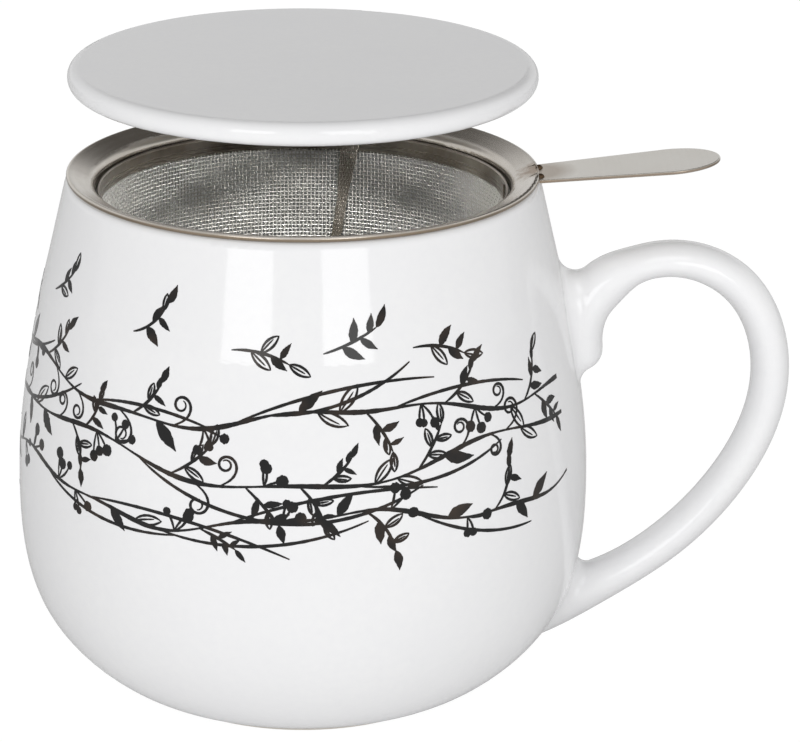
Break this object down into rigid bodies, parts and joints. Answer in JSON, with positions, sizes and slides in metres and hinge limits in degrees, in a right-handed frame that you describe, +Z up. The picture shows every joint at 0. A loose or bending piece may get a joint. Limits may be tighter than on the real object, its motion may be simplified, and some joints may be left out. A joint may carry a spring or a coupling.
{
  "type": "lidded tea mug with infuser",
  "caption": "Barrel-shaped ceramic tea mug with a side handle, a lift-out steel mesh infuser basket with a flat blade handle, and a loose ceramic disc lid.",
  "frame": {"origin": "on the mug's axis, in the plane of the foot ring that the mug stands on", "axes": "+Z up along the mug's axis; +X towards the mug's handle and the infuser's blade; +Y away from the front"},
  "size_m": [0.1324, 0.0978, 0.1098],
  "materials": {
    "glaze": "clear gloss glaze over white body",
    "lid_glaze": "clear gloss glaze over white body",
    "steel": "pressed stainless sheet, satin",
    "wire_cloth": "plain-woven stainless wire"
  },
  "bodies": {
    "mug": {"mug_body": "glaze", "mug_handle": "glaze"},
    "infuser": {"infuser_rim": "steel", "infuser_hoop": "steel", "infuser_wall": "wire_cloth", "infuser_floor": "wire_cloth", "infuser_ring": "steel", "infuser_blade": "steel", "blade_welds": "steel"},
    "lid": {"lid": "lid_glaze"}
  },
  "joints": [
    {"name": "infuser_lift", "type": "slide", "parent": "mug", "child": "infuser", "axis": [0, 0, 1], "range_m": [0, 0.075]},
    {"name": "lid_lift", "type": "slide", "parent": "infuser", "child": "lid", "axis": [0, 0, 1], "range_m": [-0.015, 0.03]}
  ]
}
